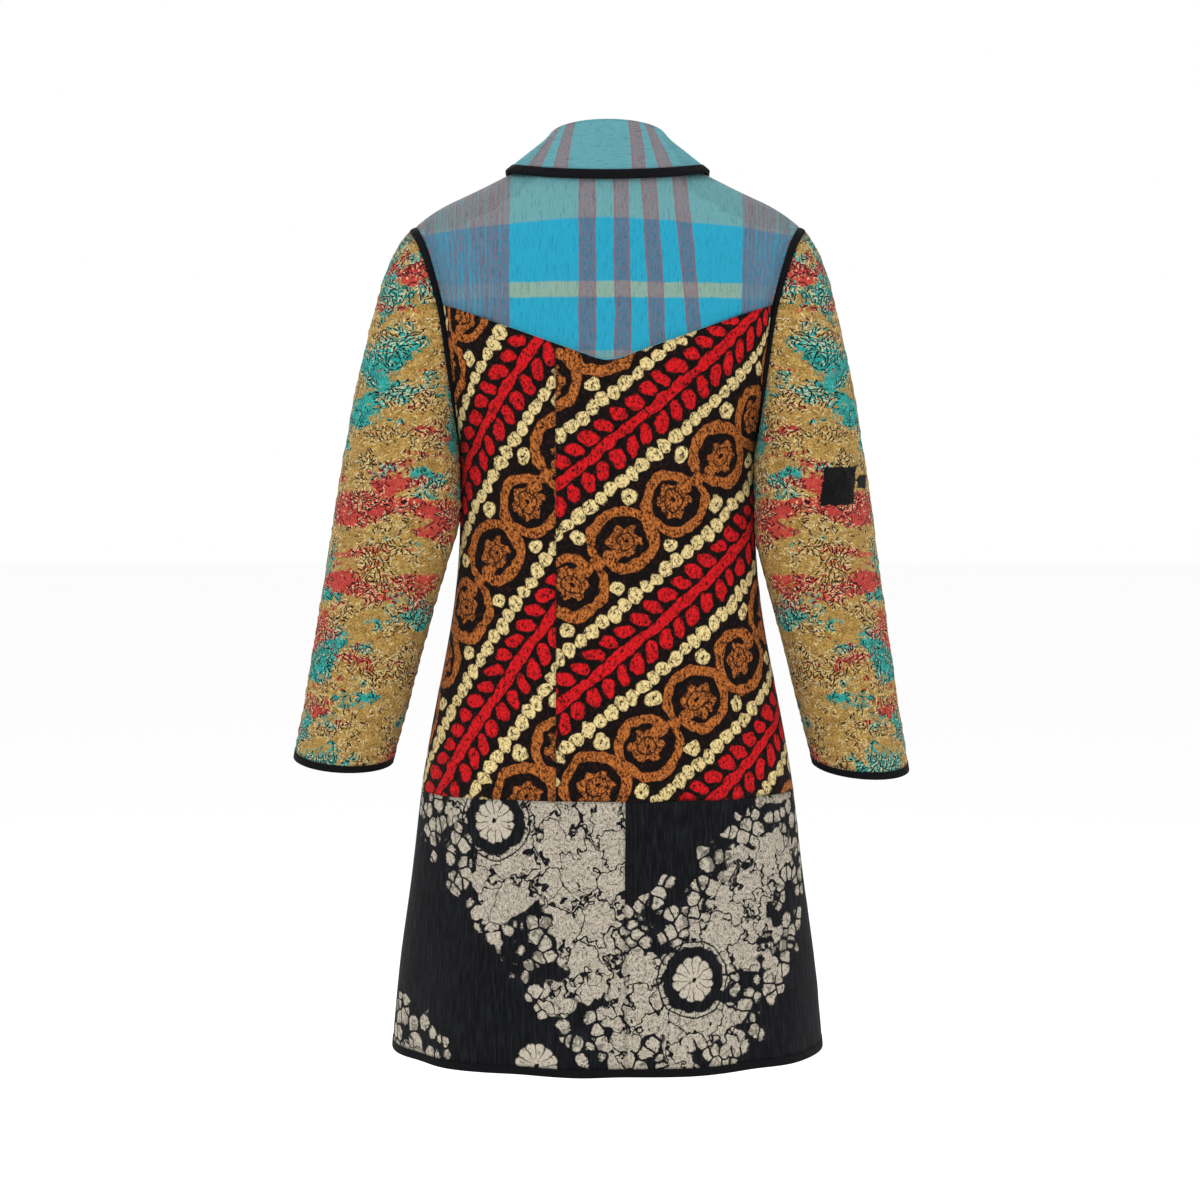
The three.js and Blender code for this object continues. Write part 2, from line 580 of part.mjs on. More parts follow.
sew("tape_collar_end_left", fold(columnsOf(collarCloth, 0, 2), TAPE_RAISE), "tape");
sew("tape_collar_end_right", fold(columnsOf(collarCloth, -2), TAPE_RAISE), "tape");

coat.position.z = -HOLD_HEIGHT;
export default coat;
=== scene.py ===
import math

import bmesh
import bpy
import numpy as np
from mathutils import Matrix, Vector, kdtree


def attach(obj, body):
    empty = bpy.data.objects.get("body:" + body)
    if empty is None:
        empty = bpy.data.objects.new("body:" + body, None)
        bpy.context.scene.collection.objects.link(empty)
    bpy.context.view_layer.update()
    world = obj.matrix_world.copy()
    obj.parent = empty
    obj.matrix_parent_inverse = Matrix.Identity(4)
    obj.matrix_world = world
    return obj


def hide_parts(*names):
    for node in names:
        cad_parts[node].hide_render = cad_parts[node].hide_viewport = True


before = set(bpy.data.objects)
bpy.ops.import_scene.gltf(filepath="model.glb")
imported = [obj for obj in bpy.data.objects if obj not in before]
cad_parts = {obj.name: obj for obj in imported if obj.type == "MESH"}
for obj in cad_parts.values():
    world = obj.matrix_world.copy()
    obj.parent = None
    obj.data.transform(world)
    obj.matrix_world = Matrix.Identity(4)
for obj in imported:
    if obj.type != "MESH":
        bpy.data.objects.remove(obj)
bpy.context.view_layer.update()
HEM_LEVEL = -0.905  # the hem's lowest level in the frame, from which the coat's heights are measured

# The back yoke: one shallow V of checked cotton, blue with mauve-grey stripes, quilted to the cloth of the
# other side and finely crinkled lengthwise. Its lower edge is turned under and laid over the body panels.

# Half width of the body, in metres, at heights above the hem
GIRTH = {0.0: 0.2315, 0.09: 0.223, 0.18: 0.210, 0.275: 0.199, 0.34: 0.1885, 0.425: 0.171, 0.5: 0.1595,
         0.57: 0.1565, 0.645: 0.157, 0.728: 0.163, 0.8: 0.170, 0.87: 0.190, 0.935: 0.200}  # fmt: skip
BODY_FLATNESS = 0.62  # depth of the body's sections to their half width
YOKE_SEAM = 0.728  # height of the yoke's seam at the armholes
ARM_RADIUS = 0.057  # mean radius of a sleeve
SEAM_REACH = 0.0006  # how far a cut edge reaches over the gap to the next piece
PRESSED = 0.004  # width beside a seam over which the puckers ease off
SAME_POINT = 2e-5  # corners of a solid that are closer than this are one
RIM_ANGLE = math.radians(48)  # a sharper bend than this is a cut edge of the cloth
EDGE_ON, FACES_OUT, FACES_IN = 0.8, 0.3, -0.35  # how far a surface's normal points out of the coat
SIDEWAYS = 0.5  # how far it points sideways, at least, on a cut edge
SWAY, FADE = 0.35, 1.6  # how far a fold sways, and fades out past its ends, in its half widths
WAVES = 16  # waves that add up to one cloth's puckers
BENDING = 38  # how quickly a wave's bends follow each other, in radians to a metre

quarter = np.linspace(0, math.pi / 2, 90)
quarter_steps = np.hypot(np.diff(np.sin(quarter)), BODY_FLATNESS * np.diff(np.cos(quarter)))
quarter_arc = np.concatenate([[0], np.cumsum(quarter_steps)])


def points_of(mesh, what="co"):
    values = np.empty(len(mesh.vertices) * 3)
    mesh.vertices.foreach_get(what, values)
    return values.reshape(-1, 3)


def cut_out(node, name, rounds):
    """A piece of cloth on its solid's form: the solid's triangles are paired into quads again and rounded."""
    sewn = bmesh.new()
    sewn.from_mesh(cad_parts[node].data)
    bmesh.ops.remove_doubles(sewn, verts=sewn.verts, dist=SAME_POINT)
    bmesh.ops.join_triangles(sewn, faces=sewn.faces, angle_face_threshold=0.8, angle_shape_threshold=1.2)
    rim = sewn.edges.layers.float.new("crease_edge")
    for edge in sewn.edges:
        if edge.calc_face_angle(0) > RIM_ANGLE:
            edge[rim] = 1
    draft = bpy.data.meshes.new(name + "_draft")
    sewn.to_mesh(draft)
    sewn.free()
    piece = bpy.data.objects.new(name, draft)
    bpy.context.collection.objects.link(piece)
    rounding = piece.modifiers.new("rounding", "SUBSURF")
    rounding.levels = rounding.render_levels = rounds
    worn = piece.evaluated_get(bpy.context.evaluated_depsgraph_get())
    piece.data = bpy.data.meshes.new_from_object(worn)
    piece.data.name = name
    piece.modifiers.clear()
    piece.data.shade_smooth()
    piece.data.set_sharp_from_angle(angle=RIM_ANGLE)
    return piece


def round_the_body(points):
    """How far each point lies round the body from its middle line, its height, and which way is out."""
    height = points[:, 2] - HEM_LEVEL
    half = np.interp(height, list(GIRTH), list(GIRTH.values()))
    turn = np.arcsin(np.clip(points[:, 0] / half, -1, 1))
    round_it = half * np.sign(turn) * np.interp(abs(turn), quarter, quarter_arc)
    out = points * (1, 1 / BODY_FLATNESS**2, 0)
    return round_it, height, out / np.linalg.norm(out, axis=1, keepdims=True)


def folded(round_it, height, folds):
    """Depth of the listed folds. A fold has a start, an end and a half width, in metres, and its depth
    at both ends, in millimetres. It sways a little and fades out past its ends."""
    depth = np.zeros(len(height))
    for (u0, v0), (u1, v1), width, depth0, depth1 in folds:
        run = np.array([u1 - u0, v1 - v0])
        length = np.linalg.norm(run)
        along = ((round_it - u0) * run[0] + (height - v0) * run[1]) / length**2
        aside = ((round_it - u0) * run[1] - (height - v0) * run[0]) / length
        held = np.clip(along, 0, 1)
        beyond = (along - held) * length
        sway = SWAY * width * np.sin(9 * along + 40 * u0)
        reach = np.exp(-(((aside + sway) / width) ** 2) - (beyond / (FADE * width)) ** 2)
        depth += reach * (depth0 + (depth1 - depth0) * held) / 1000
    return depth


def puckered(points, size, depth, stretch, seed):
    """Fine uneven puckers: many small waves of about one size, bent by slower ones."""
    chance = np.random.default_rng(seed)
    total = np.zeros(len(points))
    for _ in range(WAVES):
        way = chance.normal(size=3) * stretch
        way *= 2 * math.pi / size / np.linalg.norm(way) * chance.uniform(0.6, 1.3)
        slow_way = chance.normal(size=3) * BENDING
        start = chance.uniform(0, 6)
        bend = 2.2 * np.sin(points @ slow_way + chance.uniform(0, 6))
        total += np.sin(points @ way + start + bend)
    return depth * total / math.sqrt(WAVES)


def seam_distances(points, facing):
    """How far each point lies from the nearest cut edge of its piece."""
    rim = np.flatnonzero(abs(facing) < EDGE_ON)
    edges = kdtree.KDTree(len(rim))
    for i in rim:
        edges.insert(points[i], i)
    edges.balance()
    return np.array([edges.find(point)[2] for point in points])


def mark_flat(mesh, round_it, height, turned, raised):
    """Keeps the cloth's own flat measure as a UV map, turned and raised as the piece is cut."""
    corners = np.empty(len(mesh.loops), int)
    mesh.loops.foreach_get("vertex_index", corners)
    u, v = round_it[corners], height[corners]

    # The measure round a sleeve starts anew on its inner side, and a face that crosses this line stays whole
    faces = np.repeat(np.arange(len(mesh.polygons)), [face.loop_total for face in mesh.polygons])
    furthest = np.full(len(mesh.polygons), -1.0)
    np.maximum.at(furthest, faces, u)
    behind = furthest[faces] - u > ARM_RADIUS * math.pi
    u = np.where(behind, u + ARM_RADIUS * 2 * math.pi, u)
    c, s = math.cos(turned), math.sin(turned)
    flat = mesh.uv_layers.new(name="cloth")
    flat.data.foreach_set("uv", np.stack([c * u + s * v, c * v - s * u + raised], 1).ravel())


def wear(piece, wrap, folds, pucker, turned=0, raised=0):
    """Lays folds into the cloth, and puckers that ease off beside its seams, and closes the seams. Gives back
    which way is out at each point."""
    mesh = piece.data
    points, normals = points_of(mesh), points_of(mesh, "normal")
    round_it, height, out = wrap(points)
    facing = np.einsum("ij,ij->i", normals, out)
    from_seam = seam_distances(points, facing)
    eased = np.clip(from_seam / PRESSED, 0, 1)
    eased = eased * eased * (3 - 2 * eased)
    moved = points + out * (folded(round_it, height, folds) + (facing > FACES_OUT) * eased * pucker)[:, None]
    border = normals - out * facing[:, None]
    border *= (np.linalg.norm(border, axis=1, keepdims=True) > SIDEWAYS) * SEAM_REACH
    moved += border
    mesh.vertices.foreach_set("co", moved.ravel())
    seam = mesh.attributes.new("from_seam", "FLOAT", "POINT")
    seam.data.foreach_set("value", from_seam)
    mark_flat(mesh, round_it, height, turned, raised)
    mesh.update()
    return out


def line_with(piece, outer, inner, out):
    """Gives the cloth its outer finish, and the plain dark one of the coat's other side where it faces in."""
    mesh = piece.data
    mesh.materials.append(outer)
    mesh.materials.append(inner)
    for face in mesh.polygons:
        face.material_index = int(face.normal.dot(Vector(out[face.vertices[0]])) < FACES_IN)


def wear_as(piece, node):
    """Hides the solid that the piece replaces, and hangs the piece from the root."""
    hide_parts(node)
    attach(piece, "root")


class Yarn:
    """A value in a cloth's recipe, so that the recipe's sums are written as plain arithmetic."""

    def __init__(self, cloth, socket):
        self.cloth, self.socket = cloth, socket

    def sum(self, operation, *others):
        return self.cloth.node("Math", {"operation": operation}, dict(enumerate((self, *others))))

    def taken_from(self, operation, other):
        return self.cloth.node("Math", {"operation": operation}, {0: other, 1: self})

    __add__ = __radd__ = lambda self, other: self.sum("ADD", other)
    __mul__ = __rmul__ = lambda self, other: self.sum("MULTIPLY", other)
    __sub__ = lambda self, other: self.sum("SUBTRACT", other)
    __truediv__ = lambda self, other: self.sum("DIVIDE", other)
    __rsub__ = lambda self, other: self.taken_from("SUBTRACT", other)
    __neg__ = lambda self: self * -1
    __abs__ = lambda self: self.sum("ABSOLUTE")
    __pow__ = lambda self, other: self.sum("POWER", other)

    def repeat(self, period):
        """Distance from the middle of the nearest of equal cells."""
        return (self / period).sum("FRACT") * period - period / 2

    def held(self):
        """Kept between 0 and 1."""
        return self.cloth.node("Clamp", None, {0: self})

    def edge(self, soft):
        """1 where the value is below zero, with an edge of that softness."""
        settings = {"interpolation_type": "SMOOTHSTEP"}
        return self.cloth.node("MapRange", settings, {0: self, 1: soft, 2: -soft})


class Cloth:
    """A cloth's finish: colours and relief worked out by nodes."""

    def __init__(self, name, roughness, sheen):
        self.material = bpy.data.materials.new(name)
        self.material.use_nodes = True
        self.tree = self.material.node_tree
        self.shader = self.tree.nodes["Principled BSDF"]
        self.shader.inputs["Roughness"].default_value = roughness
        self.shader.inputs["Sheen Weight"].default_value = sheen
        self.shader.inputs["Sheen Roughness"].default_value = 0.5
        self.shader.inputs["Specular IOR Level"].default_value = 0.1

    def node(self, kind, settings=None, inputs=None, out=0):
        made = self.tree.nodes.new("ShaderNode" + kind)
        for key, value in (settings or {}).items():
            setattr(made, key, value)
        for key, value in (inputs or {}).items():
            if isinstance(value, Yarn):
                self.tree.links.new(value.socket, made.inputs[key])
            else:
                made.inputs[key].default_value = value
        return Yarn(self, made.outputs[out])

    def flat(self):
        """The cloth's own flat measure, in millimetres across and up."""
        map_of_cloth = self.node("UVMap", {"uv_map": "cloth"})
        return [self.node("SeparateXYZ", None, {0: map_of_cloth}, out=i) * 1000 for i in (0, 1)]

    def place(self):
        return self.node("TexCoord", out="Object")

    def seam(self):
        return self.node("Attribute", {"attribute_name": "from_seam"}, out="Fac") * 1000

    def at(self, x, y, z=0.0):
        return self.node("CombineXYZ", None, {0: x, 1: y, 2: z})

    def noise(self, where, scale, detail=2.0, rough=0.5):
        inputs = {"Vector": where, "Scale": scale, "Detail": detail, "Roughness": rough}
        return self.node("TexNoise", None, inputs)

    def cells(self, where, scale, feature="DISTANCE_TO_EDGE"):
        return self.node("TexVoronoi", {"feature": feature}, {"Vector": where, "Scale": scale})

    def blend(self, below, above, amount, how="MIX"):
        inputs = {0: amount, 6: below, 7: above}
        return self.node("Mix", {"data_type": "RGBA", "blend_type": how}, inputs, out=2)

    def shade(self, colour, light):
        """The colour made lighter or darker by a number about 1."""
        grey = self.node("CombineColor", None, {0: light, 1: light, 2: light})
        return self.blend(colour, grey, 1.0, "MULTIPLY")

    def finish(self, colour, height, depth):
        """Puts the colour on the cloth, and the height, in parts of the depth, into its relief."""
        relief = self.node("Bump", None, {"Strength": 1.0, "Distance": depth, "Height": height})
        self.tree.links.new(colour.socket, self.shader.inputs["Base Color"])
        self.tree.links.new(relief.socket, self.shader.inputs["Normal"])
        return self.material


STUDIO_LIGHT = 0.8  # the lamps add about a quarter to the light of the pale room
THIN_BAND = 15
LEAN_FROM = 800  # the height at which a leaning stripe's middle is given
V_TOP = 775  # the yoke's turned-under edge lies below this height


def dye(red, green, blue):
    """A colour judged on the 0 to 255 scale, as the share of light that the cloth sends back."""
    light = [STUDIO_LIGHT * ((c / 255 + 0.055) / 1.055) ** 2.4 for c in (red, green, blue)]
    return (*light, 1.0)


def checked(name, stripes, mottled, bands, crinkle):
    """Checked cotton. Its upright stripes have a middle, a half width and a lean, its level bands a middle, a
    half width and a share of straw, and its mottled zones a side, a start and a reach. The crinkle says how
    closely the cloth is crinkled across and up."""
    cloth = Cloth(name, 0.88, 0.04)
    u, v = cloth.flat()
    sway = (cloth.noise(cloth.at(u * 0.03, v * 0.012), 1.0) - 0.5) * 6
    thread = cloth.noise(cloth.at(u * 0.75, v * 0.13), 1.0, 3.0, 0.75)
    weft = cloth.noise(cloth.at(u * 0.13, v * 0.75), 1.0, 3.0, 0.75)
    grain = cloth.noise(cloth.at(u, v), 0.55, 3.0, 0.7)
    fuzz = (grain - 0.5) * 4.5
    speck = cloth.noise(cloth.at(u * 0.42, v * 0.2), 1.0, 3.0, 0.8)
    zones = [(start - (u + sway * 0.6) * side).edge(1.2) for side, start, reach in mottled]

    # The ground and its pale level bands. The thin one is half lost in the mottled zones
    ground, pale = dye(40, 160, 192), 0
    for middle, half, straw in bands:
        band = (abs(v + sway * 0.8 - middle) - half + fuzz).edge(1.2)
        if half < THIN_BAND:
            band = band * (1 - sum(zones) * 0.75)
        tone = cloth.blend(dye(92, 158, 168), dye(156, 174, 142), (weft * straw + grain * 0.4 - 0.15).held())
        ground = cloth.blend(ground, tone, band * (0.8 + grain * 0.2))
        pale = band + pale

    # The mauve-grey stripes with reddish edge yarns, which run together in the mottled zones
    mark, rim = 0, 0
    for middle, half, lean in stripes:
        aside = abs(u + sway - middle - (v - LEAN_FROM) * lean)
        mark = (aside - half + fuzz * 0.4).edge(0.9) + mark
        rim = (abs(aside - half + 0.9) - 1.0 + fuzz * 0.3).edge(0.8) + rim
    streak = cloth.noise(cloth.at(u * 0.36, v * 0.006), 1.0, 4.0, 0.8)
    for zone, (side, start, reach) in zip(zones, mottled):
        far = ((u * side - start) / reach).held()
        mark = mark + zone * ((streak - 0.5) * 4.2 + 1.05 - far * 0.4).held()
        rim = rim + zone * ((abs(streak - 0.54) - 0.02).edge(0.02) + ((thread - 0.56) * 6).held() * 0.7)
    mark, rim, pale = mark.held(), rim.held(), pale.held()
    striped = cloth.blend(dye(78, 112, 136), dye(130, 126, 132), pale)
    colour = cloth.blend(ground, striped, mark * (0.72 + grain * 0.3).held())
    reddish = (rim * (thread * 1.5 - 0.2) + mark * (grain - 0.5) * 2.4).held()
    colour = cloth.blend(colour, dye(158, 84, 80), reddish * 0.75)
    colour = cloth.blend(colour, dye(150, 76, 74), mark * ((speck - 0.52) * 7).held() * 0.6)
    colour = cloth.blend(colour, dye(40, 92, 118), mark * ((0.47 - speck) * 7).held() * 0.6)

    # The crinkles, made lighter on their crests and darker in their valleys as painted light and shade; the
    # pressed seams, darkened as painted shade; and the edge turned under along the V, made paler as a painted
    # highlight
    across, up = crinkle
    slow = cloth.noise(cloth.at(u * 0.16 * across, v * 0.16 * up), 1.0, 2.0)
    fine = cloth.noise(cloth.at(u * 0.5 * across, v * 0.5 * up), 1.0, 3.0, 0.65)
    valley_shade = (fine - 0.39).edge(0.05)
    # Near the seams the relief dips, and the colour is darkened there as painted shade
    seam_dip_and_shade = (cloth.seam() - 1.8).edge(1.2)
    # A painted highlight: a narrow strip along the edge turned under along the V is made paler
    turned_edge_highlight = (cloth.seam() - 1.1).edge(0.4) * (v - V_TOP).edge(3.0)
    colour = cloth.blend(colour, dye(104, 190, 214), turned_edge_highlight * 0.8)
    # The weave's own tone from its threads, with painted light on the crinkles' crests and painted shade in
    # their valleys and beside the seams
    light = 0.68 + thread * 0.22 + weft * 0.18 + fine * 0.24 - valley_shade * 0.2 - seam_dip_and_shade * 0.12
    return cloth.finish(cloth.shade(colour, light), slow * 1.3 + fine * 1.4 - seam_dip_and_shade * 0.25, 0.0013)


def dark_cotton():
    """The plain black cotton of the coat's other side, quilted through from the outside."""
    cloth = Cloth("plain_black_cotton", 0.9, 0.04)
    place = cloth.place()
    fleck = cloth.noise(place, 900.0, 2.0)
    stitch = cloth.noise(cloth.node("Mapping", None, {0: place, 3: (300.0, 300.0, 60.0)}), 1.0, 3.0, 0.6)
    colour = cloth.blend(dye(18, 18, 21), dye(38, 38, 42), fleck)
    return cloth.finish(colour, stitch, 0.0009)


def away(x, y):
    """Distance from the point where both measures are zero."""
    return (x * x + y * y) ** 0.5


other_side = dark_cotton()
YOKE_STRIPES = [(21, 8.6, 0.0), (-15, 8.2, 0.01), (-49, 8.2, 0.05), (-87, 7.8, 0.09)]
YOKE_BANDS = [(930, 45, 0.3), (805, 8.5, 1.3), (728, 12, 0.5)]
yoke_check = checked("yoke_check", YOKE_STRIPES, [(1, 104, 60), (-1, 148, 30)], YOKE_BANDS, (1.0, 0.12))

# Heights of the shoulder ridge above the hem, at distances from the middle of the back
SHOULDER = {0: 0.99, 0.04: 0.965, 0.077: 0.938, 0.202: 0.872}
SHOULDER_EXTRA = 0.046  # cloth that lies over the shoulder beyond what its height shows


def lay_flat(points):
    """The body's measure with the slope over the shoulders let out."""
    round_it, height, out = round_the_body(points)
    ridge = np.interp(abs(points[:, 0]), list(SHOULDER), list(SHOULDER.values()))
    over = np.clip((height - YOKE_SEAM) / (ridge - YOKE_SEAM), 0, 1)
    return round_it, height + SHOULDER_EXTRA * (1 - np.sqrt(1 - over**2)), out


YOKE_FOLDS = [
    ((0.150, 0.760), (0.095, 0.800), 0.016, -1.6, -0.3),
    ((-0.155, 0.765), (-0.090, 0.790), 0.014, -1.4, -0.3),
    ((-0.150, 0.845), (-0.070, 0.820), 0.018, -1.0, -0.2),
    ((0.140, 0.850), (0.060, 0.835), 0.020, -1.2, -0.2),
]
yoke = cut_out("back_yoke", "yoke_cloth", 2)
fine = puckered(points_of(yoke.data), 0.008, 0.00022, (1, 1, 0.15), 1)
line_with(yoke, yoke_check, other_side, wear(yoke, lay_flat, YOKE_FOLDS, fine))
wear_as(yoke, "back_yoke")

# The body: two back panels and two fronts of one banded print, red sprigs, cream beads and brown scrolls on
# near black, printed in slanting rows. The narrow left back panel was cut with its rows steeper.

# The print's measures are in parts of this many millimetres. A row holds a sprig, beads and scrolls
PRINT_PART = 1.15
ROW, LEAF, BEAD, CURL = 155, 17, 12.6, 60
LEAF_OUT, BEAD_OUT = 15.2, 33.5  # how far the leaves and beads lie from the sprig's stem
LEAF_SLANT = 0.62
CURL_RADIUS = 31
CRISP = 0.4  # softness of the print's edges


def sprig_and_beads(u, v, edge):
    """A red stem with slanting leaves on both sides, between two rows of cream beads."""
    level = (v + ROW / 2).repeat(ROW)
    off, side = abs(level), level.sum("SIGN")
    stem = (off - 5.0 + edge * 0.45).edge(CRISP)
    along, out = (u + side * LEAF / 4).repeat(LEAF), off - LEAF_OUT
    c, s = math.cos(LEAF_SLANT), math.sin(LEAF_SLANT)
    leaves = (away((along * c - out * s) / 5.8, (along * s + out * c) / 9.2) * 6 - 6 + edge * 0.7).edge(CRISP)
    heart = away((u + side * 4).repeat(BEAD), off - BEAD_OUT)
    beads = (heart - 6.5 + edge * 0.6).edge(CRISP)
    return stem.sum("MAXIMUM", leaves), beads, heart


def scrolls_and_dots(u, v, edge, hand, frayed):
    """A row of brown curls turned opposite ways, each round a flower, with cream dots beside them."""
    level = v.repeat(ROW)
    shifted = u + (v / ROW).sum("FLOOR") * 37
    way = 1 - ((shifted / CURL).sum("FLOOR") * 0.5).sum("FRACT") * 4
    along = shifted.repeat(CURL)
    dx, dy = along * way + 1, level * way
    r = away(dx, dy)
    turn = (dy.sum("ARCTAN2", dx) / (2 * math.pi)).sum("FRACT")
    arm = (abs(r - CURL_RADIUS + turn * 9) - 4.7 + edge * 0.5).edge(CRISP)
    joint = (away(dx - CURL_RADIUS, dy) - 6.4 + edge * 0.4).edge(CRISP)
    knob = (away(dx - 18, dy + 3) - 6.6 + edge * 0.5).edge(CRISP)
    petal = (turn * (2 * math.pi * 6) + hand * 5).sum("COSINE")
    rays = (abs(petal) - 0.2 - (frayed - 0.5) * 0.9).edge(0.12) * (4.5 - r).edge(1.0)
    lines = rays.sum("MAXIMUM", (abs(r - 8.5) - 0.7).edge(CRISP))
    flower = (r - 14.5 - petal * 2.0 + edge * 0.6).edge(CRISP)
    flower = flower * (1 - lines * 0.9) * (2.0 - r + edge * 0.3).edge(CRISP)
    zone = (abs(level) - 40).edge(0.5)
    scrolls = arm.sum("MAXIMUM", knob).sum("MAXIMUM", joint).sum("MAXIMUM", flower) * zone
    dot = away(abs(along) - 29, abs(level) - 28.5)
    return scrolls, (dot - 6.4 + edge * 0.6).edge(CRISP) * (1.0 - dot).edge(0.5) * zone


def banded_print():
    """Slanting rows of sprigs, beads and scrolls, with frayed edges, cracked and hatched by the stitches."""
    cloth = Cloth("banded_print", 0.88, 0.02)
    u, v = cloth.flat()
    where = cloth.at(u, v)
    hand = cloth.noise(where, 0.13, 2.0)
    frayed = cloth.noise(where, 0.42, 3.0, 0.8)
    pitted = cloth.node("Mapping", None, {0: cloth.place(), 3: (330.0, 330.0, 210.0)})
    pits = cloth.noise(pitted, 1.0, 4.0, 0.75)
    slow = cloth.noise(cloth.place(), 120.0, 2.0)
    threads = cloth.noise(cloth.at(u * 0.42 + v * 0.16, v * 0.15 - u * 0.06), 1.0, 3.0, 0.75)
    edge = (hand - 0.5) * 3.6 + (frayed - 0.5) * 4.6 + (pits - 0.5) * 3.4 + (threads - 0.5) * 6.0
    u = (u + (cloth.noise(where, 0.035, 2.0) - 0.5) * 17) / PRINT_PART + 24
    v = (v + (cloth.noise(where, 0.041, 2.0, 0.6) - 0.5) * 15) / PRINT_PART + 30
    red, beads, heart = sprig_and_beads(u, v, edge)
    scroll, dots = scrolls_and_dots(u, v, edge, hand, frayed)
    cream = beads.sum("MAXIMUM", dots)

    fibre = cloth.noise(cloth.at(u * 0.9, v * 0.35), 1.0, 3.0, 0.8)
    fray, weave = frayed - 0.5, threads - 0.5
    ground = cloth.blend(dye(5, 3, 4), dye(76, 36, 26), ((pits - 0.55) * 3 + fray * 2 + 0.1).held())
    brown = cloth.blend(dye(88, 38, 14), dye(208, 122, 56), (fray * 4.5 + weave * 3.5 + 0.62).held())
    straw = cloth.blend(dye(158, 116, 58), dye(252, 230, 164), (fray * 4.0 + weave * 3.0 + 0.8).held())
    scarlet = cloth.blend(dye(128, 8, 14), dye(236, 26, 34), (fray * 3.0 + weave * 3.0 + 0.72).held())
    colour = cloth.blend(ground, brown, scroll)
    colour = cloth.blend(colour, straw, cream)
    colour = cloth.blend(colour, scarlet, red)
    crack = (pits - 0.425 + fray * 0.2).edge(0.02)
    colour = cloth.blend(colour, dye(12, 6, 6), crack * 0.9)
    hatched = (threads - 0.415 + (fibre - 0.5) * 0.15).edge(0.02)
    colour = cloth.blend(colour, dye(22, 9, 6), hatched * (0.75 - red * 0.5 - cream * 0.25))
    colour = cloth.blend(colour, dye(34, 18, 14), (heart - 0.6 + edge * 0.6).edge(CRISP) * cream * 0.8)
    # Near the seams the relief dips, and the colour is darkened there as painted shade
    seam_dip_and_shade = (cloth.seam() - 2.0).edge(1.4)
    colour = cloth.shade(colour, 0.92 + (pits - 0.5) * 0.9 + (fibre - 0.5) * 0.5 - seam_dip_and_shade * 0.25)
    printed = red.sum("MAXIMUM", cream).sum("MAXIMUM", scroll)
    return cloth.finish(colour, printed * 0.3 + pits * 1.5 + slow * 0.8 - seam_dip_and_shade * 0.4, 0.0013)


body_print = banded_print()
BACK_FOLDS = [
    ((0.150, 0.640), (0.070, 0.585), 0.016, -2.4, -0.4),
    ((-0.150, 0.650), (-0.060, 0.600), 0.015, -2.2, -0.3),
    ((-0.155, 0.605), (-0.090, 0.560), 0.013, -1.8, -0.4),
    ((0.135, 0.520), (0.020, 0.498), 0.019, -1.4, -0.8),
    ((-0.145, 0.500), (-0.020, 0.520), 0.017, -1.8, -0.6),
    ((-0.120, 0.470), (-0.050, 0.478), 0.012, -1.2, -0.5),
    ((0.120, 0.430), (0.095, 0.300), 0.022, -1.2, -2.0),
    ((0.020, 0.410), (0.028, 0.290), 0.020, -0.8, -1.8),
    ((-0.070, 0.420), (-0.085, 0.285), 0.024, -0.8, -2.2),
    ((-0.150, 0.400), (-0.170, 0.290), 0.020, -1.0, -2.4),
    ((0.075, 0.690), (0.060, 0.640), 0.015, -0.9, -0.3),
    ((-0.030, 0.670), (-0.035, 0.600), 0.016, -0.8, -0.3),
]
FRONT_FOLDS = [
    ((0.130, 0.650), (0.060, 0.700), 0.015, -2.4, -0.6),
    ((-0.135, 0.645), (-0.055, 0.710), 0.016, -2.6, -0.5),
    ((-0.130, 0.610), (-0.070, 0.640), 0.012, -1.6, -0.4),
    ((0.120, 0.500), (0.035, 0.515), 0.018, -1.8, -0.5),
    ((-0.125, 0.510), (-0.045, 0.495), 0.017, -1.6, -0.5),
    ((0.090, 0.440), (0.075, 0.300), 0.022, -0.9, -2.2),
    ((0.150, 0.420), (0.165, 0.300), 0.021, -0.8, -2.0),
    ((-0.060, 0.450), (-0.070, 0.290), 0.023, -0.8, -2.4),
    ((-0.140, 0.420), (-0.150, 0.290), 0.020, -0.7, -2.0),
    ((0.110, 0.830), (0.070, 0.790), 0.016, -1.6, -0.3),
    ((-0.115, 0.835), (-0.065, 0.780), 0.017, -1.5, -0.3),
]
PANELS = [
    # node, how far its rows turn from level, seed of its puckers, its cut, what it hangs from
    ("back_left", math.radians(-54), 2, (0.19, 0.51, 0.077), "back_yoke"),
    ("back_right", math.radians(-39), 3, (0.30, 0.51, 0.127), "back_yoke"),
    ("front_left", math.radians(40), 4, (0.27, 0.68, 0.134), "back_yoke"),
    ("front_right", math.radians(-43), 5, (0.27, 0.68, 0.134), "back_yoke"),
]
for node, turned, seed, cut, hangs_from in PANELS:
    panel = cut_out(node, node + "_cloth", 2)
    fine = puckered(points_of(panel.data), 0.007, 0.0003, (1, 1, 0.7), seed)
    folds = BACK_FOLDS if node.startswith("back") else FRONT_FOLDS
    line_with(panel, body_print, other_side, wear(panel, lay_flat, folds, fine, turned))
    wear_as(panel, node)

# The skirt below the hip seam: four panels of a charcoal print with large stone-coloured areas of cracked
# pebbles and ringed rosettes. It hangs in soft upright folds that deepen to the hem.

PEBBLES, STONES = 0.068, 0.028  # cells to a millimetre, of the small pebbles and of the large stones


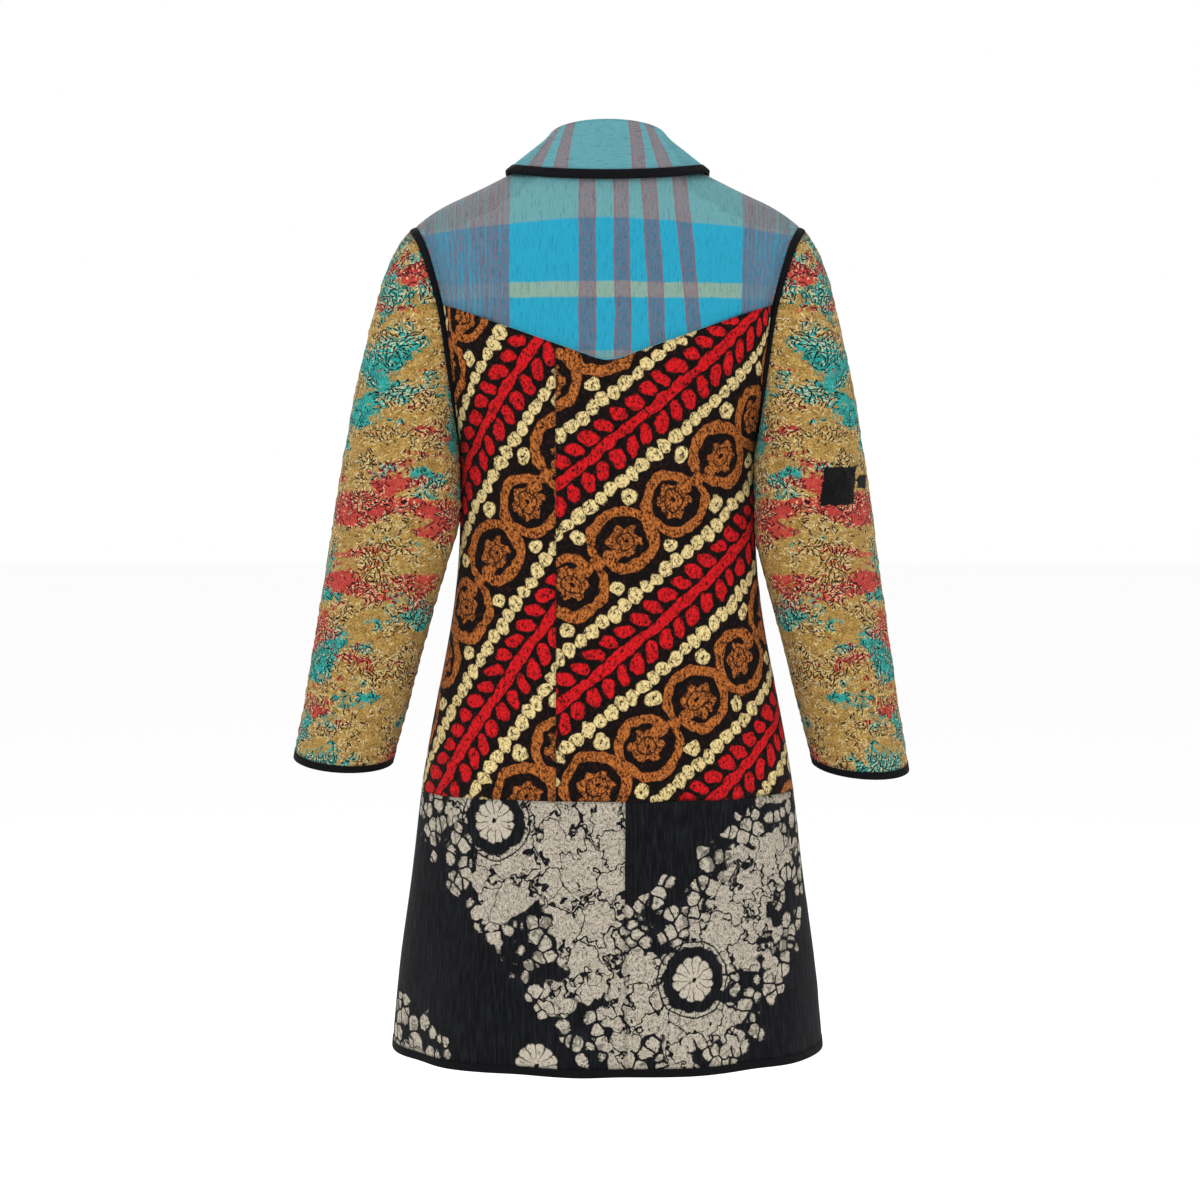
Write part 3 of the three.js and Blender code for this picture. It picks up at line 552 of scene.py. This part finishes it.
def stone_area(u, v, wander, round_pebble):
    """Depth inside the stone-coloured areas, in millimetres: a broad V, of which the skirt's seam cuts off a
    part, and a corner by the left side. The borders follow the pebbles."""
    seam_side = (u + 18).sum("SIGN").held()
    u, v = u + wander[0] * 22, v + wander[1] * 22
    above = (abs(u + 12) * 0.72 + 162 - v) * 0.8 + seam_side * 400
    below = (v - u * 1.12 + 16) * 0.66
    right = (v - (abs(u) - 146) * 1.7) * 0.5
    corner = 70 - away(u - 240, v + 10)
    return above.sum("MINIMUM", below).sum("MINIMUM", right).sum("MAXIMUM", corner) - round_pebble * 15 + 7


def rosette(u, v, ring, bloom, hand, fray):
    """A dark ring with a thin outline, and the rayed bloom inside it."""
    r = away(u, v)
    petal = abs((v.sum("ARCTAN2", u) * 6 + hand * 4).sum("COSINE"))
    halo = (r - ring - petal * 2 + fray * 5).edge(0.8)
    outline = (abs(r - ring - 6) - 0.9 + fray * 3).edge(0.6)
    whole = (r - bloom - petal * 2.2 + fray * 6).edge(0.7)
    ray = (petal - 0.2 - fray * 0.9).edge(0.12) * (6.5 - r).edge(2.0)
    eye = (r - 2.6 + fray * 3).edge(0.4)
    return halo.sum("MAXIMUM", outline), whole * (1 - ray * 0.9) * (1 - eye)


def black_print():
    """Stone-coloured areas on black: round pebbles near their borders and in drifts, larger cracked stones
    elsewhere, and rosettes."""
    cloth = Cloth("black_print", 0.88, 0.02)
    u, v = cloth.flat()
    where = cloth.at(u, v)
    hand = cloth.noise(where, 0.06, 2.0)
    wander = (hand - 0.5, cloth.noise(cloth.at(v, u), 0.055, 2.0) - 0.5)
    fray = cloth.noise(where, 0.45, 3.0, 0.8) - 0.5

    in_cells = cloth.at(u + wander[1] * 9, v + wander[0] * 9)
    round_pebble = cloth.cells(in_cells, PEBBLES, "F1")
    inside = stone_area(u, v, wander, round_pebble)
    small = (cloth.cells(in_cells, PEBBLES) - 0.065 - fray * 0.2).edge(0.02)
    small = small.sum("MAXIMUM", (0.54 + fray * 0.5 + wander[0] * 0.2 - round_pebble).edge(0.03))
    stone = cloth.cells(cloth.at(u + wander[1] * 60, v + wander[0] * 60), STONES)
    large = (stone - 0.034 - fray * 0.1 + wander[0] * 0.05).edge(0.01)
    drift = cloth.noise(where, 0.02, 2.0)
    near = (inside - 44 - (drift - 0.5) * 300).edge(3.0)
    vein = cloth.noise(where, 0.16, 4.0, 0.8)
    veins = (abs(vein - 0.5) - 0.013 + fray * 0.08).edge(0.007)
    cracks = large.sum("MAXIMUM", veins * 0.9) * (1 - near * 0.4)
    beige = (-inside).edge(0.9) * (1 - cracks) * (1 - small * near)
    for across, up, ring, bloom in ROSETTES:
        dark, pale = rosette(u - across + wander[0] * 6, v - up + wander[1] * 6, ring, bloom, hand, fray)
        beige = (beige * (1 - dark)).sum("MAXIMUM", pale)

    streak = cloth.noise(cloth.at(u * 0.4, v * 0.04), 1.0, 4.0, 0.7)
    ground = cloth.blend(dye(9, 10, 13), dye(40, 42, 48), ((streak - 0.45) * 3.0).held())
    light = cloth.blend(dye(170, 158, 138), dye(226, 216, 198), (fray * 1.4 + 0.6).held())
    flecks = (cloth.noise(cloth.at(u * 0.3, v * 0.2), 1.0, 4.0, 0.85) - 0.415).edge(0.015)
    colour = cloth.blend(ground, light, beige * (1 - flecks * 0.9))
    # Near the seams the relief dips, and the colour is darkened there as painted shade
    seam_dip_and_shade = (cloth.seam() - 2.0).edge(1.4)
    colour = cloth.shade(colour, 0.96 + fray * 0.5 - seam_dip_and_shade * 0.2)
    return cloth.finish(colour, streak * 1.8 + fray * 0.5 + beige * 0.15 - seam_dip_and_shade * 0.4, 0.0013)


ROSETTES = [
    # across and up from the hem's centre, radii of the dark ring and of the bloom
    (121, 253, 33, 20),
    (-89, 95, 32, 20),
    (74, 9, 19, 21),
]
skirt_print = black_print()
SKIRT_FOLDS = [
    ((0.182, 0.255), (0.222, 0.000), 0.026, -0.6, -4.2),
    ((0.130, 0.250), (0.160, 0.000), 0.030, -0.4, 3.2),
    ((0.080, 0.240), (0.098, 0.000), 0.028, -0.8, -4.6),
    ((0.030, 0.200), (0.036, 0.000), 0.024, 0.2, 2.4),
    ((-0.016, 0.230), (-0.022, 0.000), 0.026, -0.6, -3.0),
    ((-0.070, 0.245), (-0.088, 0.000), 0.032, -0.4, 3.4),
    ((-0.125, 0.250), (-0.152, 0.000), 0.027, -0.9, -4.4),
    ((-0.180, 0.255), (-0.214, 0.000), 0.025, -0.3, 2.2),
]
SKIRT_PANELS = [
    # node, how far its print is turned and raised, seed of its puckers, its cut, what it hangs from
    ("back_skirt_left", 0, 0, 6, (0.34, 0.27, 0.083), "back_left"),
    ("back_skirt_right", 0, 0, 7, (0.30, 0.27, 0.073), "back_right"),
    ("front_skirt_left", math.pi, 0.262, 8, (0.31, 0.27, 0.075), "front_left"),
    ("front_skirt_right", math.pi, 0.262, 9, (0.31, 0.27, 0.075), "front_right"),
]
for node, turned, raised, seed, cut, hangs_from in SKIRT_PANELS:
    panel = cut_out(node, node + "_cloth", 2)
    fine = puckered(points_of(panel.data), 0.008, 0.00028, (1, 1, 0.12), seed)
    line_with(panel, skirt_print, other_side, wear(panel, lay_flat, SKIRT_FOLDS, fine, turned, raised))
    wear_as(panel, node)

# The sleeves: set in, of ochre cloth with teal and coral patches, shrunk all over into small swirling puckers
# by dense running stitches. The right one has a black patch sewn on above the elbow, and a smaller one by it.

# Middle of the left sleeve from the armhole to the cuff: across, front to back, height above the hem
ARM_LINE = np.array([
    (0.185, 0.000, 0.755), (0.197, 0.010, 0.717), (0.207, 0.017, 0.661), (0.213, 0.018, 0.625),
    (0.220, 0.016, 0.587), (0.229, 0.012, 0.548), (0.239, 0.007, 0.501), (0.251, 0.001, 0.448),
    (0.263, -0.005, 0.394), (0.274, -0.010, 0.346), (0.284, -0.014, 0.305),
])  # fmt: skip
RIGHT_CUFF_IN = 0.011  # how much nearer to the body the right cuff hangs


def round_the_arm(points):
    """How far each point lies round the sleeve from its outer side, its height, and which way is out."""
    side = np.sign(points[:, :1])
    height = points[:, 2] - HEM_LEVEL
    middle = np.stack([np.interp(-height, -ARM_LINE[:, 2], ARM_LINE[:, i]) for i in (0, 1, 2)], 1)
    middle[:, 2] = height
    lower = np.interp(-height, -ARM_LINE[:, 2], np.linspace(0, 1, len(ARM_LINE)))
    middle[:, 0] -= np.where(side[:, 0] < 0, RIGHT_CUFF_IN * lower, 0)
    out = points - middle * np.hstack([side, np.ones((len(points), 2))]) - (0, 0, HEM_LEVEL)
    out[:, 2] = 0
    out /= np.linalg.norm(out, axis=1, keepdims=True)
    turn = np.arctan2(out[:, 1], out[:, 0] * side[:, 0])
    return turn * ARM_RADIUS, height, out


def strokes(cloth, where, size):
    """Small cells with one short stroke in each, lying along a slowly turning direction. Gives each cell's
    middle and the distances along and aside from its stroke."""
    cells = {"Vector": where, "Scale": 1 / size}
    home = cloth.node("TexVoronoi", {"voronoi_dimensions": "2D"}, cells, out="Position")
    lean = cloth.noise(home, 0.021, 2.0, 0.6) * 26
    offset = cloth.node("VectorMath", {"operation": "SUBTRACT"}, {0: where, 1: home})
    across, up = (cloth.node("SeparateXYZ", None, {0: offset}, out=i) for i in (0, 1))
    c, s = lean.sum("COSINE"), lean.sum("SINE")
    return home, across * c + up * s, up * c - across * s


def sewn_on(cloth, patch, frayed):
    """1 where a patch lies on the back of the sleeve."""
    x, y, z = (cloth.node("SeparateXYZ", None, {0: cloth.place()}, out=i) * 1000 for i in (0, 1, 2))
    across, up, half_width, half_height = patch
    border = (abs(x - across + (z - up) * 0.1) - half_width).sum("MAXIMUM", abs(z - up) - half_height)
    return (border + frayed).edge(0.4) * (-y).edge(2.0)


def puckered_ochre(name, patches):
    """Ochre cloth with teal and coral areas, covered in short swirling strokes that follow its puckers: dark
    ones, orange ones and pale ones that are painted highlights.
    """
    cloth = Cloth(name, 0.86, 0.05)
    u, v = cloth.flat()
    fine = cloth.noise(cloth.at(u, v), 0.5, 3.0, 0.8)
    middle = cloth.noise(cloth.at(u, v), 0.11, 2.0, 0.6)

    # Dark and bright strokes, close together in some places and nearly absent in others. The bright strokes
    # are partly orange and partly pale painted highlights on the puckers
    wander = (cloth.noise(cloth.at(u, v), 0.12, 2.0) - 0.5) * 7
    home, along, aside = strokes(cloth, cloth.at(u + wander, v - wander), 4.0)
    chance = cloth.noise(home, 3.7)
    dark = (abs(aside) - 0.66 - (fine - 0.5) * 2.0).edge(0.35) * (abs(along) - 3.6).edge(0.6)
    home, along, aside = strokes(cloth, cloth.at(u + 431 + wander, v + 217), 3.2)
    bright_chance = cloth.noise(home, 3.1)
    bright = (abs(aside) - 0.6 - (fine - 0.5) * 1.6).edge(0.4) * (abs(along) - 2.6).edge(0.6)
    busy = cloth.noise(cloth.at(u + 71, v * 1.3), 0.022, 3.0, 0.7)

    # The dyed areas, with ragged borders that follow the strokes
    tone = ((middle - 0.4) * 1.2 + (fine - 0.5) * 2.2 + 0.3).held()
    ochre = cloth.blend(dye(134, 96, 34), dye(230, 190, 110), tone)
    teal = cloth.blend(dye(6, 118, 110), dye(70, 212, 200), tone)
    coral = cloth.blend(dye(172, 34, 36), dye(232, 100, 84), tone)
    ragged = ((chance - 0.5) * 0.34 + (fine - 0.5) * 0.2) * 0.8
    teal_dye = cloth.noise(cloth.at(u * 0.7, v * 1.15, 7.0), 0.0165, 2.5, 0.62)
    coral_dye = cloth.noise(cloth.at(u * 0.5 + 90, v * 1.5, 33.0), 0.0165, 2.5, 0.62)
    in_teal = (0.542 - teal_dye + ragged).edge(0.012)
    in_coral = (0.552 - coral_dye + ragged).edge(0.012)
    colour = cloth.blend(cloth.blend(ochre, teal, in_teal), coral, in_coral)

    stirred = in_teal.sum("MAXIMUM", in_coral * 0.7)
    dark = dark * (chance * 0.5 + busy * 1.3 - 0.86 - stirred * 0.14).edge(0.03)
    # The bright strokes: orange ones, and pale ones that are painted highlights on the pucker crests
    highlight_and_orange = cloth.blend(dye(252, 232, 176), dye(228, 126, 56), (bright_chance - 0.55).edge(-0.05))
    shown = (bright_chance * 0.6 + busy * 0.9 - 0.74).edge(0.02) * 0.8
    colour = cloth.blend(colour, highlight_and_orange, bright * shown)
    colour = cloth.blend(colour, dye(6, 6, 8), dark)
    for patch in patches:
        frayed = (fine - 0.5) * 6.0 + (middle - 0.5) * 6.0
        colour = cloth.blend(colour, dye(8, 8, 10), sewn_on(cloth, patch, frayed))
    # Near the seams the relief dips, and the colour is darkened there as painted shade
    seam_dip_and_shade = (cloth.seam() - 2.4).edge(1.6)
    colour = cloth.shade(colour, 0.9 + (fine - 0.5) * 0.9 - seam_dip_and_shade * 0.2)
    height = middle * 1.8 + fine * 0.7 - dark * 0.5 + bright * 0.25 - seam_dip_and_shade * 0.3
    return cloth.finish(colour, height, 0.0015)


PATCHES = [
    # middle across and up, half width and half height, in millimetres
    (-240, -305, 18, 20),
    (-266, -301, 5, 7),
]
SLEEVE_FOLDS = [
    ((0.060, 0.640), (-0.020, 0.655), 0.013, -2.0, -0.4),
    ((0.110, 0.600), (0.030, 0.612), 0.015, -2.6, -0.6),
    ((0.125, 0.545), (0.040, 0.572), 0.014, -3.0, -0.6),
    ((0.120, 0.500), (0.030, 0.492), 0.016, -3.0, -0.8),
    ((0.110, 0.455), (0.010, 0.440), 0.013, -2.4, -0.5),
    ((0.120, 0.405), (0.045, 0.420), 0.012, -1.8, -0.4),
    ((-0.120, 0.560), (-0.040, 0.540), 0.015, -2.8, -0.6),
    ((-0.125, 0.505), (-0.030, 0.512), 0.014, -2.6, -0.4),
    ((-0.110, 0.450), (-0.050, 0.468), 0.013, -2.0, -0.4),
    ((-0.030, 0.380), (0.025, 0.362), 0.018, -1.4, -0.4),
    ((0.020, 0.780), (0.045, 0.690), 0.016, -1.6, -0.4),
    ((-0.025, 0.790), (-0.050, 0.700), 0.015, -1.8, -0.4),
    ((0.176, 0.655), (0.176, 0.520), 0.034, 3.4, 1.0),
    ((-0.176, 0.655), (-0.176, 0.520), 0.034, 3.4, 1.0),
]
for side, seed in (("left", 10), ("right", 11)):
    ochre = puckered_ochre("puckered_ochre_" + side, PATCHES if side == "right" else [])
    sleeve = cut_out("sleeve_" + side, "sleeve_" + side + "_cloth", 3)
    points = points_of(sleeve.data)
    wide = puckered(points, 0.012, 0.0005, (1, 1, 1), seed)
    fine = puckered(points, 0.006, 0.0002, (1, 1, 1), seed + 20)
    line_with(sleeve, ochre, other_side, wear(sleeve, round_the_arm, SLEEVE_FOLDS, wide + fine))
    wear_as(sleeve, "sleeve_" + side)

# The collar: one folded piece of the same check, cut so that its crinkles run round the neck. It stands up
# from the neckline, rolls over and falls to a bound edge on the yoke.

NECK_BACK = 0.009  # how far the middle of the neck lies behind the shoulders
NECK_RADIUS = 0.078


def round_the_neck(points):
    """How far each point lies round the neck from its middle line, its height, and which way is out."""
    out = points * (1, 1, 0) - (0, NECK_BACK, 0)
    out = out / np.linalg.norm(out, axis=1, keepdims=True)
    turn = np.arctan2(out[:, 0], abs(out[:, 1]))
    return turn * NECK_RADIUS, points[:, 2] - HEM_LEVEL, out


COLLAR_STRIPES = [(83, 7, 0.0), (47, 7.5, 0.05), (-32, 7.5, -0.03), (-70, 8, 0.04)]
collar_check = checked("collar_check", COLLAR_STRIPES, [], [(950, 90, 0.1)], (0.12, 1.0))
collar = cut_out("collar", "collar_cloth", 2)
wear(collar, round_the_neck, [], 0)
collar.data.materials.append(collar_check)
wear_as(collar, "collar")

# Black binding: bias-cut cotton tape folded over every raw edge, and over the armhole seams, with a line of
# stitching near its inner edge.


def bias_tape():
    """Black cotton with a fine slanting rib."""
    cloth = Cloth("bias_tape", 0.9, 0.01)
    place = cloth.place()
    ribs = {"Vector": place, "Scale": 330.0, "Distortion": 1.5}
    rib = cloth.node("TexWave", {"bands_direction": "DIAGONAL"}, ribs)
    fleck = cloth.noise(place, 700.0, 3.0, 0.7)
    slow = cloth.noise(place, 120.0, 2.0)
    colour = cloth.blend(dye(6, 6, 9), dye(26, 27, 32), fleck * rib)
    return cloth.finish(colour, rib * 0.4 + fleck * 0.4 + slow * 1.4, 0.0008)


tape_cloth = bias_tape()
TAPES = [
    # node, what it goes round, its folds, its width, length and area, what it is sewn to
    ("tape_hem", lay_flat, SKIRT_FOLDS, (0.011, 1.28, 0.0140), "back_skirt_left"),
    ("tape_front_left", lay_flat, [], (0.011, 0.88, 0.0095), "front_left"),
    ("tape_front_right", lay_flat, [], (0.011, 0.88, 0.0095), "front_right"),
    ("tape_cuff_left", round_the_arm, SLEEVE_FOLDS, (0.0105, 0.34, 0.0035), "sleeve_left"),
    ("tape_cuff_right", round_the_arm, SLEEVE_FOLDS, (0.0105, 0.34, 0.0035), "sleeve_right"),
    ("tape_armhole_left", lay_flat, [], (0.0125, 0.50, 0.0062), "sleeve_left"),
    ("tape_armhole_right", lay_flat, [], (0.0125, 0.50, 0.0062), "sleeve_right"),
    ("tape_collar_edge", round_the_neck, [], (0.0125, 0.63, 0.0078), "collar"),
    ("tape_collar_end_left", round_the_neck, [], (0.011, 0.115, 0.00125), "collar"),
    ("tape_collar_end_right", round_the_neck, [], (0.011, 0.115, 0.00125), "collar"),
]
for node, wrap, folds, cut, sewn_to in TAPES:
    tape = cut_out(node, node + "_cloth", 2)
    wear(tape, wrap, folds, 0)
    tape.data.materials.append(tape_cloth)
    wear_as(tape, node)

# The view: straight on to the back from 3 m and looking down a little, over a plain pale floor in soft
# studio light.
EYE = Vector((0.008, 3.0, -0.215))
AIM = Vector((0.008, 0.0, -0.4285))
FLOOR_LEVEL = -1.55
LIT_POINT = Vector((0, 0, -0.4))
lens = bpy.data.cameras.new("camera")
lens.lens = 84.6
lens.sensor_width = 36
camera = bpy.data.objects.new("camera", lens)
camera.location = EYE
camera.rotation_euler = (AIM - EYE).to_track_quat("-Z", "Y").to_euler()
bpy.context.collection.objects.link(camera)
bpy.context.scene.camera = camera

paper = bpy.data.materials.new("studio_paper")
paper.use_nodes = True
paper.node_tree.nodes["Principled BSDF"].inputs["Base Color"].default_value = (0.97, 0.97, 0.97, 1)
paper.node_tree.nodes["Principled BSDF"].inputs["Roughness"].default_value = 0.9
bpy.ops.mesh.primitive_plane_add(size=40, location=(0, 0, FLOOR_LEVEL))
floor = bpy.context.object
floor.name = "floor"
floor.data.materials.append(paper)

LAMPS = [
    # name, place, size, power
    ("key", (1.8, 3.0, 2.2), 2.0, 55),
    ("fill", (-2.6, 2.2, 0.4), 2.6, 18),
    ("front", (0.6, -3.2, 1.6), 2.2, 50),
    ("top", (0.0, 0.2, 2.8), 2.0, 12),
]
for name, place, size, power in LAMPS:
    light = bpy.data.lights.new(name, "AREA")
    light.size, light.energy = size, power
    lamp = bpy.data.objects.new(name, light)
    lamp.location = place
    lamp.rotation_euler = (LIT_POINT - lamp.location).to_track_quat("-Z", "Y").to_euler()
    bpy.context.collection.objects.link(lamp)
world = bpy.data.worlds.new("studio")
world.use_nodes = True
world.node_tree.nodes["Background"].inputs["Color"].default_value = (1, 1, 1, 1)
world.node_tree.nodes["Background"].inputs["Strength"].default_value = 1.0
bpy.context.scene.world = world
bpy.context.scene.view_settings.view_transform = "Standard"
